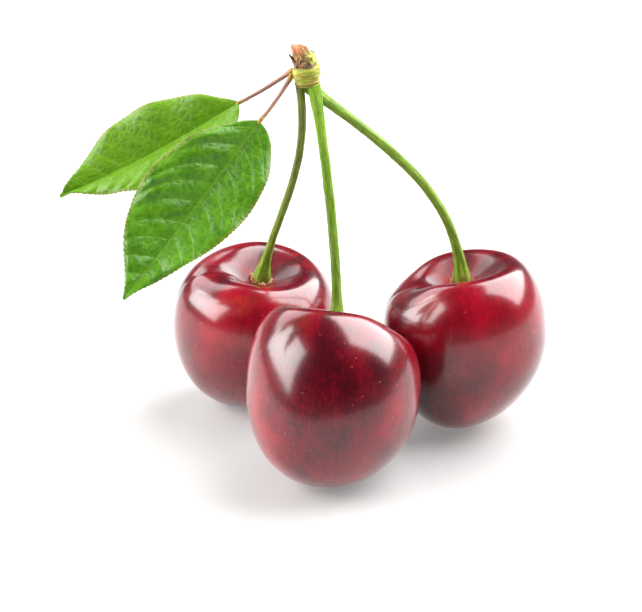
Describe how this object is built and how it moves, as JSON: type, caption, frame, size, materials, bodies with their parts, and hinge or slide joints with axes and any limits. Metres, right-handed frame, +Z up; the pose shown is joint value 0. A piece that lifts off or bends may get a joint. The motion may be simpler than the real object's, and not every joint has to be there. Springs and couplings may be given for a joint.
{
  "type": "bunch of cherries on stalks",
  "caption": "Bunch of sweet cherries standing on the fruits, with green stalks rising to one woody spur that also carries serrated leaves.",
  "frame": {"origin": "on the surface that the fruits rest on, under the middle of the whole bunch", "axes": "+Z up, +Y from the front fruit towards the space between the two behind it, +X towards the fruit on the longest curved stalk, along the bunch's widest extent"},
  "size_m": [0.0763, 0.052, 0.0661],
  "materials": {
    "cherry_skin": "smooth waxy fruit skin, dark crimson with fine lighter flecks",
    "green_stalk": "fresh green stalk with fine ridges along it",
    "petiole": "thin leaf stalk, brown where the sun reached it",
    "leaf_blade": "thin waxy leaf with pale veins",
    "spur_collar": "young yellow-green bark with ring scars",
    "spur_bark": "torn woody bark, orange-brown",
    "bud_scale": "dry papery scale, dark brown"
  },
  "bodies": {
    "root": {"cherry_front": "cherry_skin", "cherry_left": "cherry_skin", "cherry_right": "cherry_skin", "stalk_front": "green_stalk", "stalk_left": "green_stalk", "stalk_right": "green_stalk", "spur_collar": "spur_collar", "spur_stub": "spur_bark", "petiole_upper": "petiole", "petiole_lower": "petiole", "leaf_upper": "leaf_blade", "leaf_lower": "leaf_blade", "bud_scale_left": "bud_scale", "bud_scale_front": "bud_scale", "bud_scale_back": "bud_scale"}
  },
  "joints": []
}
